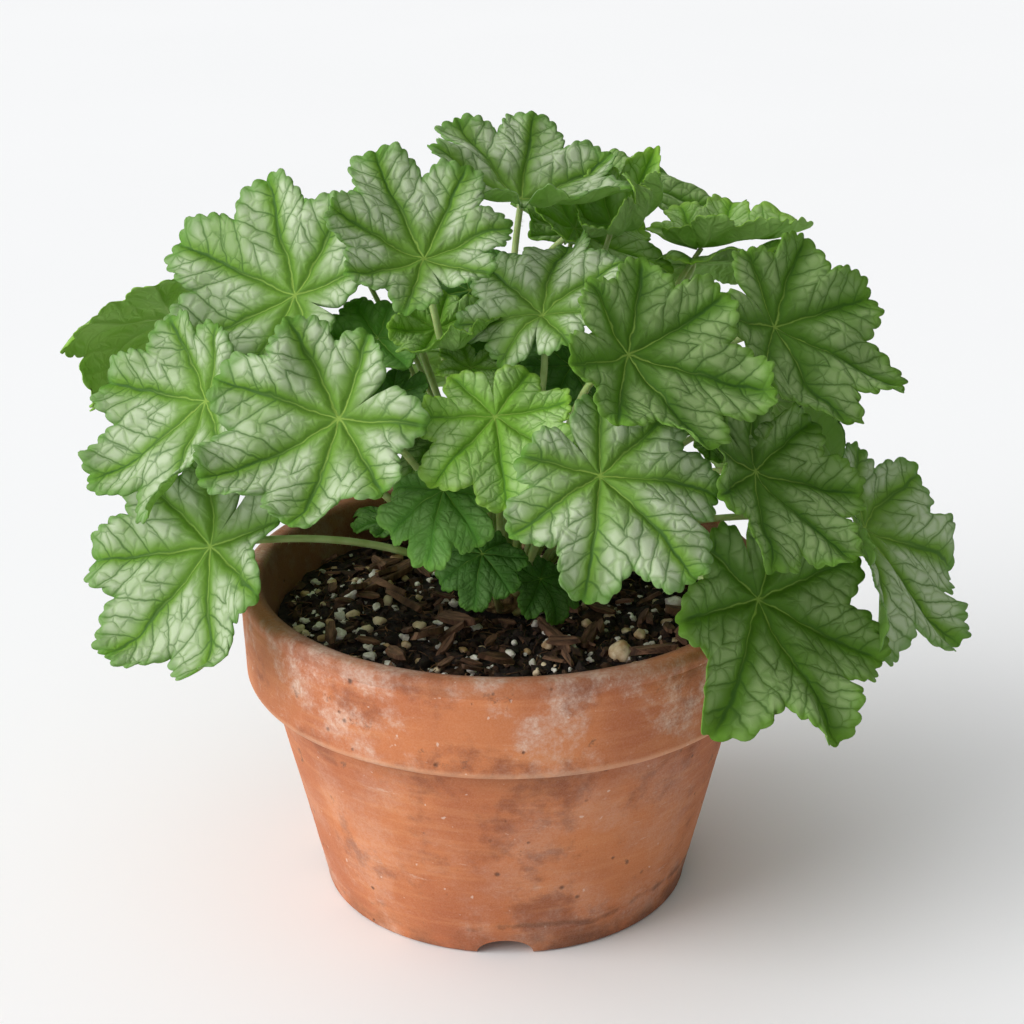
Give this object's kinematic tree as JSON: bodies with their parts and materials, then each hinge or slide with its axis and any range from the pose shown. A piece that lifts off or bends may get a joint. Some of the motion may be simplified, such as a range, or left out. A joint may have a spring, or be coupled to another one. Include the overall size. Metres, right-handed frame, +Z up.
{
  "type": "potted heuchera",
  "caption": "Heuchera (coral bells) with lobed, dark-veined silver-green leaves on slender stalks, growing in a low round terracotta pot with a collared rim and drain notches.",
  "frame": {"origin": "centre of the pot's flat underside", "axes": "+Z up along the pot's axis; the fuller, front side of the plant faces -Y"},
  "size_m": [0.335, 0.2605, 0.2887],
  "materials": {
    "terracotta": "unglazed fired earthenware, matt, with salt bloom and small pits",
    "potting_mix": "damp peat and bark potting mix, crumbly and matt",
    "crown_wood": "scaly green-brown crown of the plant",
    "bark": "split pine bark chips, dry and fibrous",
    "leaf_blade": "living leaf, satin, silver-green between dark green veins",
    "leaf_stalk": "living leaf stalk, pale green with fine short hairs"
  },
  "bodies": {
    "root": {"pot": "terracotta", "soil": "potting_mix", "crown": "crown_wood", "bark_chip_left": "bark", "bark_chip_front": "bark", "bark_chip_right": "bark", "top_blade": "leaf_blade", "top_stalk": "leaf_stalk", "top_left_blade": "leaf_blade", "top_left_stalk": "leaf_stalk", "left_upper_blade": "leaf_blade", "left_upper_stalk": "leaf_stalk", "far_left_blade": "leaf_blade", "far_left_stalk": "leaf_stalk", "left_mid_blade": "leaf_blade", "left_mid_stalk": "leaf_stalk", "left_centre_blade": "leaf_blade", "left_centre_stalk": "leaf_stalk", "low_left_blade": "leaf_blade", "low_left_stalk": "leaf_stalk", "centre_upper_blade": "leaf_blade", "centre_upper_stalk": "leaf_stalk", "right_centre_blade": "leaf_blade", "right_centre_stalk": "leaf_stalk", "right_upper_blade": "leaf_blade", "right_upper_stalk": "leaf_stalk", "centre_low_blade": "leaf_blade", "centre_low_stalk": "leaf_stalk", "centre_bright_blade": "leaf_blade", "centre_bright_stalk": "leaf_stalk", "low_centre_left_blade": "leaf_blade", "low_centre_left_stalk": "leaf_stalk", "low_centre_blade": "leaf_blade", "low_centre_stalk": "leaf_stalk", "low_centre_right_blade": "leaf_blade", "low_centre_right_stalk": "leaf_stalk", "right_mid_blade": "leaf_blade", "right_mid_stalk": "leaf_stalk", "far_right_blade": "leaf_blade", "far_right_stalk": "leaf_stalk", "low_right_blade": "leaf_blade", "low_right_stalk": "leaf_stalk", "back_curled_blade": "leaf_blade", "back_curled_stalk": "leaf_stalk", "back_right_blade": "leaf_blade", "back_right_stalk": "leaf_stalk", "back_right_light_blade": "leaf_blade", "back_right_light_stalk": "leaf_stalk", "behind_right_blade": "leaf_blade", "behind_right_stalk": "leaf_stalk", "dark_centre_blade": "leaf_blade", "dark_centre_stalk": "leaf_stalk", "back_left_blade": "leaf_blade", "back_left_stalk": "leaf_stalk", "back_left_low_blade": "leaf_blade", "back_left_low_stalk": "leaf_stalk", "back_low_blade": "leaf_blade", "back_low_stalk": "leaf_stalk", "back_right_low_blade": "leaf_blade", "back_right_low_stalk": "leaf_stalk"}
  },
  "joints": []
}
